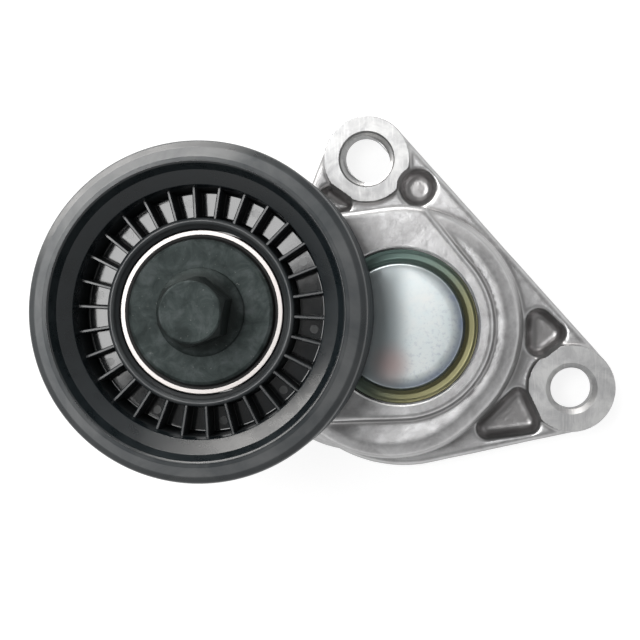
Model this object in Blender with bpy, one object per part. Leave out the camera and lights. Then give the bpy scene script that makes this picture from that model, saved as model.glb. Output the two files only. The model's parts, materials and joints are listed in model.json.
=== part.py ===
"""Belt tensioner with a smooth idler pulley.

A cast base holds a pivot pin, a torsion spring and a friction band. A cast arm turns on the pin
and carries a moulded pulley on a sealed ball bearing. The origin is where the pivot axis meets
the base's mounting face. +Z points out of the base towards the pulley.
All named sizes are in millimetres; MM turns them into Blender's metres.
"""

import math

import bmesh
import bpy

MM = 0.001
WELD = 0.00001
GAP = 0.3

# Driving positions in the plan: the pivot axis is (0, 0).
PULLEY_AXIS = (-47.5, 3.6)
RIGHT_EAR = (43.73, -16.3)
TOP_EAR = (-9.65, 43.77)

# Ball bearing, 17 x 40 x 12.
BEARING_BORE_R = 8.5
BEARING_OUTER_R = 20.0
BEARING_LOW = 33.1
BEARING_WIDTH = 12.0
BEARING_TOP = BEARING_LOW + BEARING_WIDTH
BEARING_MID = BEARING_LOW + BEARING_WIDTH / 2
BALL_COUNT = 8
BALL_R = 3.375
BALL_PITCH_R = 14.25
GROOVE_R = BALL_R + 0.15
INNER_LAND_R = 11.5
OUTER_LAND_R = 16.6
SEAL_SEAT_R = 18.84
SEAL_SEAT_DEPTH = 1.4
SEAL_THICKNESS = 0.8

# Pulley.
PULLEY_R = 41.12
PULLEY_BACK = 29.0
PULLEY_LIP_R = 36.44
PULLEY_TOP = 55.0
WEB_LOW = 34.9
WEB_TOP = 37.9
HUB_R = 23.12
RIB_COUNT = 30
RIB_FIRST_DEG = 9.2
RIB_THICKNESS = 1.0
RIB_TOP = 46.2
PULLEY_STEPS = 48

# Bolt and shields on the pulley's axis.
BOLT_R = 5.0
BOLT_FOOT = 16.0
BOLT_HOLE_R = BOLT_R + GAP
SHIELD_R = 17.88
FRONT_SHIELD_LOW = BEARING_TOP + GAP
FRONT_SHIELD_TOP = FRONT_SHIELD_LOW + 1.1
REAR_SHIELD_TOP = BEARING_LOW - GAP
REAR_SHIELD_LOW = REAR_SHIELD_TOP - 1.1
FLANGE_LOW = FRONT_SHIELD_TOP + GAP
FLANGE_TOP = FLANGE_LOW + 2.4
HEX_TOP = 61.0
HEX_ACROSS_FLATS = 15.0
HEX_CORNER_DEG = 21.0

# Base casting: the plate wraps round the ears and these circles.
PLATE_CIRCLES = (((-0.3, -2.35), 34.6), ((-4.0, 3.0), 31.7))
PLATE_TOP = 8.8
EAR_R = 11.4
EAR_TOP = 10.0
EAR_HOLE_R = 5.4
EAR_CHAMFER = 1.3
SLOT_HALF_TRAVEL = 1.1
SINK_R = 7.8
SINK_DEPTH = 2.4
WALL_INNER_R = 28.2
WALL_OUTER_R = 31.0
WALL_TOP = 11.4
CAVITY_FLOOR = 3.5
PIN_BOSS_R = 13.0
PIN_BOSS_TOP = 5.0
POCKET_FLOOR = 3.0

# Pivot.
PIN_R = 8.0
PIN_FOOT = 3.0
PIN_SHOULDER = 20.0
PIN_NECK_R = 5.0
PIN_HEAD_R = 7.5
PIN_HEAD_TOP = 24.0
BUSHING_WALL = 1.9
HUB_BORE_R = PIN_R + GAP + BUSHING_WALL + GAP
ARM_HUB_R = 14.0
ARM_HUB_LOW = 6.6

# Arm casting: circles that its hulls wrap round.
ARM_LOW = 12.0
ARM_CUP_R = 31.2
ARM_CUP_INNER_R = 27.6
ARM_CEILING = 21.3
ARM_WEB_LOW = 17.0
SHOULDER_TOP = 24.6
PLATEAU_R = 23.7
PLATEAU_TOP = 27.0
ARM_END_R = 21.5
ARM_POST_R = 9.5
ARM_POST_TOP = REAR_SHIELD_LOW - GAP
CAP_RECESS_R = 19.85
CAP_RECESS_FLOOR = 23.5
CAP_TOP = 27.5
CAP_DOME_R = 100.0

# Torsion spring: flat coils between the base's floor and the arm's ceiling.
SPRING_MEAN_R = 20.5
SPRING_WIRE_R = 2.2
SPRING_TURNS = 2.4
SPRING_PITCH = 4.8
SPRING_LOW = 7.2

# Travel stop: a tab under the arm's rim runs in a notch of the base's wall.
STOP_CENTRE_DEG = 165.0
STOP_TAB_DEG = 14.0
TRAVEL_DEG = 30.0
STOP_CLEARANCE_DEG = 1.5


def clear_scene():
    """Removes whatever the startup file holds."""
    for obj in list(bpy.data.objects):
        bpy.data.objects.remove(obj)


def make_material(name, colour, roughness, metallic):
    """A Principled BSDF in one colour."""
    material = bpy.data.materials.new(name)
    material.use_nodes = True
    shader = material.node_tree.nodes["Principled BSDF"]
    shader.inputs["Base Color"].default_value = (*colour, 1.0)
    shader.inputs["Roughness"].default_value = roughness
    shader.inputs["Metallic"].default_value = metallic
    return material


def make_object(name, bm, material=None, parent=None):
    """Links a bmesh as an object with outward faces and smooth shading between sharp edges."""
    bmesh.ops.recalc_face_normals(bm, faces=bm.faces)
    mesh = bpy.data.meshes.new(name)
    bm.to_mesh(mesh)
    bm.free()
    mesh.shade_smooth()
    mesh.set_sharp_from_angle(angle=math.radians(30))
    if material:
        mesh.materials.append(material)
    obj = bpy.data.objects.new(name, mesh)
    obj.parent = parent
    bpy.context.scene.collection.objects.link(obj)
    return obj


def on_circle(centre, radius, degrees):
    """A plan point at an angle on a circle."""
    angle = math.radians(degrees)
    return centre[0] + radius * math.cos(angle), centre[1] + radius * math.sin(angle)


def turned(name, profile, steps, material=None, parent=None, centre=(0, 0)):
    """Spins a closed outline of (radius, height) points about a vertical axis."""
    bm = bmesh.new()
    verts = [bm.verts.new((radius * MM, 0, height * MM)) for radius, height in profile]
    pairs = zip(verts, verts[1:] + verts[:1])
    edges = [bm.edges.new(pair) for pair in pairs if pair[0].co.x > WELD or pair[1].co.x > WELD]
    bmesh.ops.spin(
        bm, geom=edges, cent=(0, 0, 0), axis=(0, 0, 1), angle=math.tau, steps=steps, use_merge=True
    )
    bmesh.ops.remove_doubles(bm, verts=bm.verts, dist=WELD)
    bmesh.ops.translate(bm, verts=bm.verts, vec=(centre[0] * MM, centre[1] * MM, 0))
    return make_object(name, bm, material, parent)


def sector(name, profile, first_deg, span_deg, steps, material=None, parent=None):
    """Spins a filled outline through part of a turn, which leaves two flat ends."""
    bm = bmesh.new()
    x, y = on_circle((0, 0), 1.0, first_deg)
    face = bm.faces.new([bm.verts.new((r * x * MM, r * y * MM, z * MM)) for r, z in profile])
    geometry = [face, *face.edges, *face.verts]
    angle = math.radians(span_deg)
    bmesh.ops.spin(bm, geom=geometry, cent=(0, 0, 0), axis=(0, 0, 1), angle=angle, steps=steps)
    bmesh.ops.remove_doubles(bm, verts=bm.verts, dist=WELD)
    return make_object(name, bm, material, parent)


def hull(name, circles, steps=48, material=None, parent=None):
    """Wraps level circles, each (centre, radius, height), in one convex body."""
    bm = bmesh.new()
    for centre, radius, height in circles:
        for step in range(steps):
            x, y = on_circle(centre, radius, 360 * step / steps)
            bm.verts.new((x * MM, y * MM, height * MM))
    bmesh.ops.convex_hull(bm, input=bm.verts)
    loose = [vert for vert in bm.verts if not vert.link_faces]
    bmesh.ops.delete(bm, geom=loose, context="VERTS")
    bmesh.ops.dissolve_limit(bm, angle_limit=math.radians(0.1), verts=bm.verts, edges=bm.edges)
    return make_object(name, bm, material, parent)


def column(name, centre, radius, low, high, steps=32, top_radius=None):
    """A round column or cutter, tapered when top_radius is given."""
    return hull(name, [(centre, radius, low), (centre, top_radius or radius, high)], steps)


def joined(name, objects):
    """Several bodies that do not touch, as one helper object."""
    bm = bmesh.new()
    for obj in objects:
        bm.from_mesh(obj.data)
        bpy.data.objects.remove(obj)
    return make_object(name, bm)


def combine(obj, other, operation):
    """Adds a Boolean and leaves the other object out of the model."""
    modifier = obj.modifiers.new(other.name, "BOOLEAN")
    modifier.operation = operation
    modifier.solver = "EXACT"
    modifier.object = other
    other.hide_render = True
    other.display_type = "WIRE"


def add(obj, other):
    """Joins a helper body to an object."""
    combine(obj, other, "UNION")


def cut(obj, other):
    """Cuts a helper body out of an object."""
    combine(obj, other, "DIFFERENCE")


def pivot_empty(name, centre, parent=None):
    """An empty on a joint's axis, which the joint's pieces hang from."""
    empty = bpy.data.objects.new(name, None)
    empty.location = (centre[0] * MM, centre[1] * MM, 0)
    empty.parent = parent
    bpy.context.scene.collection.objects.link(empty)
    return empty


# ---------------------------------------------------------------- base


def ear_slot(name, radius, low, high):
    """A column stretched along the line between the two ears, for the top ear's slotted hole."""
    span = (RIGHT_EAR[0] - TOP_EAR[0], RIGHT_EAR[1] - TOP_EAR[1])
    length = math.hypot(*span)
    shift = (span[0] / length * SLOT_HALF_TRAVEL, span[1] / length * SLOT_HALF_TRAVEL)
    circles = []
    for sign in (-1, 1):
        centre = (TOP_EAR[0] + sign * shift[0], TOP_EAR[1] + sign * shift[1])
        circles += [(centre, radius, low), (centre, radius, high)]
    return hull(name, circles, 24)


def base_pockets():
    """Blind rounded pockets between the spring wall and the ears."""
    corners = {
        "pocket_by_top_ear": [((3.7, 36.3), 4.6)],
        "pocket_by_right_ear": [((35.3, 1.2), 3.1), ((39.0, -2.0), 3.0), ((35.2, -4.8), 3.1)],
        "pocket_low": [((29.9, -18.6), 2.3), ((32.6, -25.4), 2.7), ((21.9, -27.0), 2.6)],
        "pocket_behind_top_ear": [((-19.9, 34.9), 1.8), ((-15.6, 31.8), 1.8), ((-23.5, 29.5), 2.0)],
    }
    pockets = []
    for name, circles in corners.items():
        rings = []
        for centre, radius in circles:
            rings += [(centre, radius - 0.9, POCKET_FLOOR), (centre, radius, PLATE_TOP + 1)]
        pockets.append(hull(name, rings, 16))
    return joined("base_pockets", pockets)


def make_base(material):
    """The mounting plate with two ears, the spring wall and the boss that holds the pin."""
    plate = []
    for height, inset in ((0, 0.5), (0.8, 0), (PLATE_TOP - 0.6, 0), (PLATE_TOP, 0.6)):
        plate += [(centre, radius - inset, height) for centre, radius in PLATE_CIRCLES]
        plate += [(ear, EAR_R - inset, height) for ear in (RIGHT_EAR, TOP_EAR)]
    base = hull("base_bracket", plate, 48, material)
    wall = [
        (WALL_INNER_R - 2, PLATE_TOP - 2),
        (WALL_OUTER_R, PLATE_TOP - 2),
        (WALL_OUTER_R, WALL_TOP),
        (WALL_INNER_R - 2, WALL_TOP),
    ]
    add(base, turned("spring_wall", wall, 48))
    for name, ear in (("right_ear_boss", RIGHT_EAR), ("top_ear_boss", TOP_EAR)):
        add(base, column(name, ear, EAR_R - 0.05, PLATE_TOP - 2, EAR_TOP, 32, EAR_R - 0.3))
    cavity = [
        (PIN_BOSS_R, CAVITY_FLOOR),
        (WALL_INNER_R, CAVITY_FLOOR),
        (WALL_INNER_R, WALL_TOP + 1),
        (0, WALL_TOP + 1),
        (0, PIN_BOSS_TOP),
        (PIN_BOSS_R, PIN_BOSS_TOP),
    ]
    cut(base, turned("spring_cavity", cavity, 48))
    cut(base, column("pin_socket", (0, 0), PIN_R + GAP, PIN_FOOT - GAP, PIN_BOSS_TOP + 1, 40))
    cut(base, column("right_ear_hole", RIGHT_EAR, EAR_HOLE_R, -1, EAR_TOP + 1))
    chamfer = (EAR_TOP - EAR_CHAMFER, EAR_TOP + 1, 32, EAR_HOLE_R + EAR_CHAMFER + 1)
    cut(base, column("right_ear_chamfer", RIGHT_EAR, EAR_HOLE_R, *chamfer))
    cut(base, ear_slot("top_ear_slot", EAR_HOLE_R, -1, EAR_TOP + 1))
    sink = (SINK_R - 1.2, EAR_TOP - SINK_DEPTH, EAR_TOP + 1, 32, SINK_R + 0.5)
    cut(base, column("top_ear_sink", TOP_EAR, *sink))
    cut(base, base_pockets())
    notch = [
        (WALL_INNER_R - 1, WALL_TOP + 1),
        (WALL_INNER_R - 1, PLATE_TOP + GAP),
        (WALL_OUTER_R + 1, PLATE_TOP + GAP),
        (WALL_OUTER_R + 1, WALL_TOP + 1),
    ]
    first = STOP_CENTRE_DEG - STOP_TAB_DEG / 2 - STOP_CLEARANCE_DEG
    span = STOP_TAB_DEG + TRAVEL_DEG + 2 * STOP_CLEARANCE_DEG
    cut(base, sector("stop_notch", notch, first, span, 16))
    return base


def make_pivot(steel, nylon):
    """The pin, its thrust washers, the friction band and the spring's seat."""
    plate_low = PIN_SHOULDER + GAP
    plate_top = plate_low + 1.7
    pin = [
        (0, PIN_FOOT),
        (PIN_R - 0.5, PIN_FOOT),
        (PIN_R, PIN_FOOT + 0.5),
        (PIN_R, PIN_SHOULDER),
        (PIN_NECK_R, PIN_SHOULDER),
        (PIN_NECK_R, plate_top + GAP),
        (PIN_HEAD_R, plate_top + GAP),
        (PIN_HEAD_R, plate_top + GAP + 0.6),
        (PIN_HEAD_R - 2, PIN_HEAD_TOP),
        (0, PIN_HEAD_TOP),
    ]
    turned("pivot_pin", pin, 28, steel)
    ring("retaining_plate", PIN_NECK_R + GAP, 15.5, plate_low, plate_top, 32, steel)
    ring("lower_thrust_washer", PIN_R + 0.5, 13.2, PIN_BOSS_TOP + GAP, ARM_HUB_LOW - GAP, 32, nylon)
    ring("spring_seat", 17.0, 24.0, CAVITY_FLOOR + GAP, CAVITY_FLOOR + GAP + 0.8, 36, nylon)
    band = [(25.6, 3.8), (27.3, 3.8), (27.3, 17.5), (25.6, 17.5)]
    sector("friction_band", band, 20, 330, 36, nylon)


def ring(name, inner, outer, low, high, steps, material, parent=None):
    """A flat ring."""
    outline = [(inner, low), (outer, low), (outer, high), (inner, high)]
    return turned(name, outline, steps, material, parent)


def make_spring(material):
    """The torsion spring, a round wire on a helix."""
    per_turn = 16
    count = round(SPRING_TURNS * per_turn) + 1
    curve = bpy.data.curves.new("torsion_spring", "CURVE")
    curve.dimensions = "3D"
    curve.bevel_depth = SPRING_WIRE_R * MM
    curve.bevel_resolution = 2
    curve.use_fill_caps = True
    curve.materials.append(material)
    spline = curve.splines.new("POLY")
    spline.points.add(count - 1)
    for index, point in enumerate(spline.points):
        x, y = on_circle((0, 0), SPRING_MEAN_R, 360 * index / per_turn)
        height = SPRING_LOW + SPRING_PITCH * index / per_turn
        point.co = (x * MM, y * MM, height * MM, 1)
    spring = bpy.data.objects.new("torsion_spring", curve)
    bpy.context.scene.collection.objects.link(spring)


# ---------------------------------------------------------------- arm


def arm_shoulder():
    """The cup over the spring and the beam to the pulley, with a rounded shoulder."""
    steps = (
        (ARM_LOW, 0.0),
        (17.0, 0.3),
        (20.0, 1.3),
        (22.2, 3.0),
        (SHOULDER_TOP, 6.6),
    )
    circles = []
    for height, inset in steps:
        circles.append(((0, 0), ARM_CUP_R - inset, height))
        circles.append(((-3.2, -3.6), ARM_CUP_R - 0.2 - inset, height))
        circles.append(((-12.0, -6.0), 26.5 - inset, height))
        circles.append((PULLEY_AXIS, ARM_END_R - 0.8 * inset, height))
    return hull("tensioner_arm", circles, 40)


def arm_plateau():
    """The flat top that stands a step above the shoulder round the cap and along the beam."""
    plan = (
        ((0, 0), PLATEAU_R),
        ((5.4, 28.6), 1.5),
        ((-9.0, 12.0), 18.0),
        ((-20.0, -4.0), 20.5),
        (PULLEY_AXIS, 17.0),
    )
    circles = []
    for height, inset in ((SHOULDER_TOP - 4, 0.0), (PLATEAU_TOP - 0.5, 0.3), (PLATEAU_TOP, 0.9)):
        circles += [(centre, radius - inset, height) for centre, radius in plan]
    return hull("arm_plateau", circles, 36)


def make_arm(material, parent):
    """The cast arm."""
    arm = arm_shoulder()
    arm.data.materials.append(material)
    arm.parent = parent
    add(arm, arm_plateau())
    spring_room = [
        (ARM_HUB_R, ARM_LOW - 8),
        (ARM_CUP_INNER_R, ARM_LOW - 8),
        (ARM_CUP_INNER_R, 18.0),
        (24.5, ARM_CEILING),
        (17.6, ARM_CEILING),
        (17.6, ARM_WEB_LOW),
        (ARM_HUB_R, ARM_WEB_LOW),
    ]
    cut(arm, turned("spring_room", spring_room, 40))
    add(arm, column("arm_hub", (0, 0), ARM_HUB_R - 0.2, ARM_HUB_LOW, ARM_WEB_LOW + 1, 32))
    cap_recess = [
        (0, PIN_SHOULDER),
        (15.9, PIN_SHOULDER),
        (15.9, CAP_RECESS_FLOOR),
        (CAP_RECESS_R, CAP_RECESS_FLOOR),
        (CAP_RECESS_R, PLATEAU_TOP + 1),
        (0, PLATEAU_TOP + 1),
    ]
    cut(arm, turned("cap_recess", cap_recess, 40))
    cut(arm, column("hub_bore", (0, 0), HUB_BORE_R, ARM_HUB_LOW - 1, PIN_SHOULDER + 1, 32))
    beam_room = [(12.5, ARM_LOW - 1), (15.8, ARM_LOW - 1), (15.8, 20.5), (12.5, 20.5)]
    cut(arm, turned("beam_room", beam_room, 40, centre=PULLEY_AXIS))
    add(arm, column("bearing_post", PULLEY_AXIS, ARM_POST_R + 1.0, 20, ARM_POST_TOP, 32, ARM_POST_R))
    cut(arm, column("bolt_hole", PULLEY_AXIS, BOLT_HOLE_R, ARM_LOW - 1, ARM_POST_TOP + 1))
    tab = [
        (WALL_INNER_R + GAP, PLATE_TOP + 2 * GAP),
        (WALL_OUTER_R - GAP, PLATE_TOP + 2 * GAP),
        (WALL_OUTER_R - GAP, ARM_LOW + 1),
        (WALL_INNER_R + GAP, ARM_LOW + 1),
    ]
    add(arm, sector("stop_tab", tab, STOP_CENTRE_DEG - STOP_TAB_DEG / 2, STOP_TAB_DEG, 4))


def make_cap(material, parent):
    """The pressed cap: a shallow dome with a sunken flange round it."""
    outline = [
        (0, CAP_TOP - 1.3),
        (8.0, CAP_TOP - 1.6),
        (14.6, CAP_TOP - 2.3),
        (15.9, CAP_RECESS_FLOOR + GAP),
        (CAP_RECESS_R - GAP, CAP_RECESS_FLOOR + GAP),
        (CAP_RECESS_R - GAP, 25.0),
        (18.6, 24.5),
        (17.2, 24.4),
        (16.3, 24.9),
    ]
    for radius in (15.6, 12.0, 8.0, 4.0, 0.0):
        drop = CAP_DOME_R - math.sqrt(CAP_DOME_R**2 - radius**2)
        outline.append((radius, CAP_TOP - drop))
    turned("pivot_cap", outline, 40, material, parent)


def make_bolt(material, parent):
    """The flange bolt that clamps the bearing's inner ring to the arm."""
    shank = [
        (0, BOLT_FOOT),
        (BOLT_R - 0.8, BOLT_FOOT),
        (BOLT_R, BOLT_FOOT + 0.8),
        (BOLT_R, FLANGE_LOW),
        (10.6, FLANGE_LOW),
        (10.8, FLANGE_LOW + 0.7),
        (8.9, FLANGE_TOP),
        (0, FLANGE_TOP),
    ]
    bolt = turned("pulley_bolt", shank, 30, material, parent)
    bm = bmesh.new()
    corner_r = HEX_ACROSS_FLATS / 2 / math.cos(math.radians(30))
    rings = ((corner_r, FLANGE_TOP - 0.8, 6), (corner_r, HEX_TOP - 0.9, 6), (7.3, HEX_TOP, 24))
    for radius, height, count in rings:
        for index in range(count):
            x, y = on_circle((0, 0), radius, HEX_CORNER_DEG + 360 * index / count)
            bm.verts.new((x * MM, y * MM, height * MM))
    bmesh.ops.convex_hull(bm, input=bm.verts)
    add(bolt, make_object("bolt_hexagon", bm, parent=parent))


# ---------------------------------------------------------------- bearing


def groove(land_r, from_low):
    """Points of a ball groove in a ring's land, from one side of the ring to the other."""
    reach = land_r - BALL_PITCH_R
    half = math.degrees(math.acos(abs(reach) / GROOVE_R))
    count = 4
    points = []
    for index in range(count + 1):
        angle = math.radians(-half + 2 * half * index / count)
        radius = BALL_PITCH_R + math.copysign(GROOVE_R * math.cos(angle), reach)
        points.append((radius, BEARING_MID + GROOVE_R * math.sin(angle)))
    return points if from_low else points[::-1]


def make_rings(steel, arm, pulley):
    """The two rings of the bearing. The inner one stays with the arm."""
    edge = 0.5
    inner = [
        (BEARING_BORE_R, BEARING_TOP - edge),
        (BEARING_BORE_R, BEARING_LOW + edge),
        (BEARING_BORE_R + edge, BEARING_LOW),
        (INNER_LAND_R, BEARING_LOW),
        *groove(INNER_LAND_R, True),
        (INNER_LAND_R, BEARING_TOP),
        (BEARING_BORE_R + edge, BEARING_TOP),
    ]
    turned("bearing_inner_ring", inner, 32, steel, arm)
    seat_low = BEARING_LOW + SEAL_SEAT_DEPTH
    seat_top = BEARING_TOP - SEAL_SEAT_DEPTH
    outer = [
        (BEARING_OUTER_R - edge, BEARING_LOW),
        (BEARING_OUTER_R, BEARING_LOW + edge),
        (BEARING_OUTER_R, BEARING_TOP - edge),
        (BEARING_OUTER_R - edge, BEARING_TOP),
        (SEAL_SEAT_R, BEARING_TOP),
        (SEAL_SEAT_R, seat_top),
        (OUTER_LAND_R, seat_top),
        *groove(OUTER_LAND_R, False),
        (OUTER_LAND_R, seat_low),
        (SEAL_SEAT_R, seat_low),
        (SEAL_SEAT_R, BEARING_LOW),
    ]
    turned("bearing_outer_ring", outer, 36, steel, pulley)


def make_seals(rubber, pulley):
    """A rubber seal on each side, held in the outer ring."""
    top = BEARING_TOP - GAP
    low = BEARING_LOW + GAP
    inner = INNER_LAND_R + GAP + 0.05
    outer = SEAL_SEAT_R - GAP - 0.05
    ring("front_bearing_seal", inner, outer, top - SEAL_THICKNESS, top, 36, rubber, pulley)
    ring("rear_bearing_seal", inner, outer, low, low + SEAL_THICKNESS, 36, rubber, pulley)


def make_cage(nylon, cage):
    """A ring with one round pocket for each ball."""
    outline = [(13.05, 34.9), (15.45, 34.9), (15.45, 43.3), (13.05, 43.3)]
    body = turned("ball_cage", outline, 32, nylon, cage)
    pockets = []
    for index in range(BALL_COUNT):
        bm = bmesh.new()
        bmesh.ops.create_cone(
            bm,
            cap_ends=True,
            segments=12,
            radius1=(BALL_R + GAP) * MM,
            radius2=(BALL_R + GAP) * MM,
            depth=6 * MM,
        )
        angle = math.tau * index / BALL_COUNT
        for vert in bm.verts:
            along, across, up = vert.co.z + BALL_PITCH_R * MM, vert.co.x, vert.co.y
            vert.co.x = along * math.cos(angle) - across * math.sin(angle)
            vert.co.y = along * math.sin(angle) + across * math.cos(angle)
            vert.co.z = up + BEARING_MID * MM
        pockets.append(make_object("cage_pocket", bm))
    cutter = joined("cage_pockets", pockets)
    cutter.parent = cage
    cut(body, cutter)


def make_balls(steel, cage):
    """The balls, which share one mesh."""
    bm = bmesh.new()
    bmesh.ops.create_uvsphere(bm, u_segments=12, v_segments=8, radius=BALL_R * MM)
    first = make_object("bearing_ball_1", bm, steel, cage)
    balls = [first]
    for index in range(1, BALL_COUNT):
        ball = bpy.data.objects.new(f"bearing_ball_{index + 1}", first.data)
        ball.parent = cage
        bpy.context.scene.collection.objects.link(ball)
        balls.append(ball)
    for index, ball in enumerate(balls):
        x, y = on_circle((0, 0), BALL_PITCH_R, 360 * index / BALL_COUNT)
        ball.location = (x * MM, y * MM, BEARING_MID * MM)


# ---------------------------------------------------------------- pulley


def pulley_profile():
    """Half section of the moulded wheel, from the bearing seat round to the back."""
    seat_r = BEARING_OUTER_R + GAP
    return [
        (seat_r, BEARING_LOW + 0.3),
        (seat_r, BEARING_TOP + 0.2),
        (21.4, 46.35),
        (22.3, 46.56),
        (HUB_R - 0.1, 46.2),
        (HUB_R + 0.2, WEB_TOP),
        (29.8, WEB_TOP),
        (30.6, 50.1),
        (34.13, 52.33),
        (36.05, 54.7),
        (PULLEY_LIP_R, PULLEY_TOP),
        (37.0, 54.8),
        (40.6, 52.75),
        (PULLEY_R, 52.0),
        (PULLEY_R, PULLEY_BACK + 0.8),
        (PULLEY_R - 0.8, PULLEY_BACK),
        (36.9, PULLEY_BACK),
        (36.5, 45.5),
        (33.6, 45.5),
        (33.2, 32.0),
        (32.0, WEB_LOW),
        (24.4, WEB_LOW),
        (24.0, 32.6),
        (seat_r + 0.4, 32.6),
    ]


def rib_fan(parent):
    """Thin ribs between the hub and the rim, equally spaced."""
    ribs = []
    low, high = WEB_TOP - 1, RIB_TOP
    inner, outer = HUB_R - 1.2, 31.2
    half = RIB_THICKNESS / 2
    for index in range(RIB_COUNT):
        angle = math.radians(RIB_FIRST_DEG + 360 * index / RIB_COUNT)
        bm = bmesh.new()
        bmesh.ops.create_cube(bm, size=1)
        for vert in bm.verts:
            radius = outer if vert.co.x > 0 else inner
            side = half if vert.co.y > 0 else -half
            x = radius * math.cos(angle) - side * math.sin(angle)
            y = radius * math.sin(angle) + side * math.cos(angle)
            vert.co = (x * MM, y * MM, (high if vert.co.z > 0 else low) * MM)
        ribs.append(make_object("rib", bm))
    fan = joined("rib_fan", ribs)
    fan.parent = parent
    return fan


def make_pulley(plastic, parent):
    """The moulded pulley with its front ribs."""
    pulley = turned("pulley", pulley_profile(), PULLEY_STEPS, plastic, parent)
    add(pulley, rib_fan(parent))


def main():
    clear_scene()
    aluminium = make_material("cast_aluminium", (0.60, 0.60, 0.60), 0.42, 0.9)
    plastic = make_material("black_plastic", (0.022, 0.024, 0.026), 0.38, 0.0)
    steel = make_material("bearing_steel", (0.72, 0.71, 0.70), 0.22, 1.0)
    phosphate = make_material("black_phosphate", (0.045, 0.048, 0.046), 0.5, 0.6)
    zinc = make_material("zinc_plate", (0.70, 0.75, 0.78), 0.25, 1.0)
    spring_steel = make_material("spring_steel", (0.18, 0.18, 0.19), 0.4, 0.9)
    rubber = make_material("seal_rubber", (0.03, 0.03, 0.03), 0.7, 0.0)
    nylon = make_material("nylon", (0.55, 0.52, 0.45), 0.5, 0.0)

    make_base(aluminium)
    make_pivot(steel, nylon)
    make_spring(spring_steel)

    arm = pivot_empty("arm_pivot", (0, 0))
    make_arm(aluminium, arm)
    make_cap(zinc, arm)
    ring("pivot_bushing", PIN_R + GAP, HUB_BORE_R - GAP, 6.9, 19.7, 32, nylon, arm)

    wheel = pivot_empty("pulley_spin", PULLEY_AXIS, arm)
    cage = pivot_empty("cage_spin", PULLEY_AXIS, arm)
    make_rings(steel, wheel, wheel)
    make_seals(rubber, wheel)
    make_cage(nylon, cage)
    make_balls(steel, cage)
    sleeve_r = BEARING_BORE_R - GAP
    ring("bearing_spacer", BOLT_HOLE_R, sleeve_r, BEARING_LOW, BEARING_TOP, 28, steel, wheel)
    ring("front_dust_shield", BOLT_HOLE_R, SHIELD_R, FRONT_SHIELD_LOW, FRONT_SHIELD_TOP, 48, phosphate, wheel)
    ring("rear_dust_shield", BOLT_HOLE_R, 17.5, REAR_SHIELD_LOW, REAR_SHIELD_TOP, 40, phosphate, wheel)
    make_bolt(phosphate, wheel)
    make_pulley(plastic, wheel)


main()
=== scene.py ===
"""Looks for the belt tensioner: cast, moulded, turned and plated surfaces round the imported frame.

All named sizes are in millimetres, and MM turns them into Blender's metres. The origin is where
the pivot axis meets the base's mounting face, and +Z points towards the pulley.
"""

import json
import math

import bmesh
import bpy
import numpy as np
from mathutils import Matrix, Vector, noise
from mathutils.kdtree import KDTree


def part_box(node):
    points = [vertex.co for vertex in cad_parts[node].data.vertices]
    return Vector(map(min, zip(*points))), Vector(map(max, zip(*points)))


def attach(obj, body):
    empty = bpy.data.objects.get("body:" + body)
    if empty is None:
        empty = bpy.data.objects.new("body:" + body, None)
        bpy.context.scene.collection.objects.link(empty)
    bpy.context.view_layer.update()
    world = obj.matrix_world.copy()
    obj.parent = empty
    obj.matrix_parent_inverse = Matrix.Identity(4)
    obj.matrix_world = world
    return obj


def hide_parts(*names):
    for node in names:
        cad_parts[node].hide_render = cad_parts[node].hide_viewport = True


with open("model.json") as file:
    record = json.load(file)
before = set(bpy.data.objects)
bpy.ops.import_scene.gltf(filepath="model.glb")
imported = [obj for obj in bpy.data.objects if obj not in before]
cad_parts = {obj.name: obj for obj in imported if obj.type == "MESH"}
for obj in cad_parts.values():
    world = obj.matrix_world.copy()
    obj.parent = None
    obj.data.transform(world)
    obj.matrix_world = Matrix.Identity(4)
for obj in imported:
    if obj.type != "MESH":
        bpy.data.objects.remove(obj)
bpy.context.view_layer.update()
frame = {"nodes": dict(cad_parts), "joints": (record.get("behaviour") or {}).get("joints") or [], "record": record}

MM = 0.001  # metres in a millimetre
WELD = 0.000001  # points closer than this are one


def joint_axis(name):
    """Where a joint's axis crosses the plan, in millimetres."""
    joint = next(joint for joint in frame["joints"] if joint["name"] == name)
    return joint["pos_m"][0] / MM, joint["pos_m"][1] / MM


def opening_centre(name):
    """The plan centre of one of the record's openings, in millimetres."""
    opening = next(o for o in frame["record"]["physics"]["openings"] if o["name"] == name)
    low, high = opening["box_m"]
    return (low[0] + high[0]) / 2 / MM, (low[1] + high[1]) / 2 / MM


def node_top(name):
    """A CAD node's highest point, in millimetres."""
    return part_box(name)[1].z / MM


def node_low(name):
    """A CAD node's lowest point, in millimetres."""
    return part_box(name)[0].z / MM


def node_radius(name):
    """Half a round CAD node's width, in millimetres."""
    low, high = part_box(name)
    return (high.x - low.x) / 2 / MM


# Places and driving sizes, read from the frame.
PIVOT = joint_axis("arm_pivot")
WHEEL = joint_axis("pulley_spin")
RIGHT_EAR = opening_centre("right_ear_bolt_hole")
TOP_EAR = opening_centre("top_ear_bolt_slot")
PULLEY_R = node_radius("pulley")
PULLEY_TOP = node_top("pulley")
PULLEY_BACK = node_low("pulley")
BEARING_R = node_radius("bearing_outer_ring")
BEARING_TOP = node_top("bearing_outer_ring")
BEARING_LOW = node_low("bearing_outer_ring")
SHIELD_R = node_radius("front_dust_shield")
SHIELD_TOP = node_top("front_dust_shield")
SHIELD_LOW = node_low("front_dust_shield")
BOLT_TOP = node_top("pulley_bolt")
BOLT_FOOT = node_low("pulley_bolt")
CAP_TOP = node_top("pivot_cap")

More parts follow.
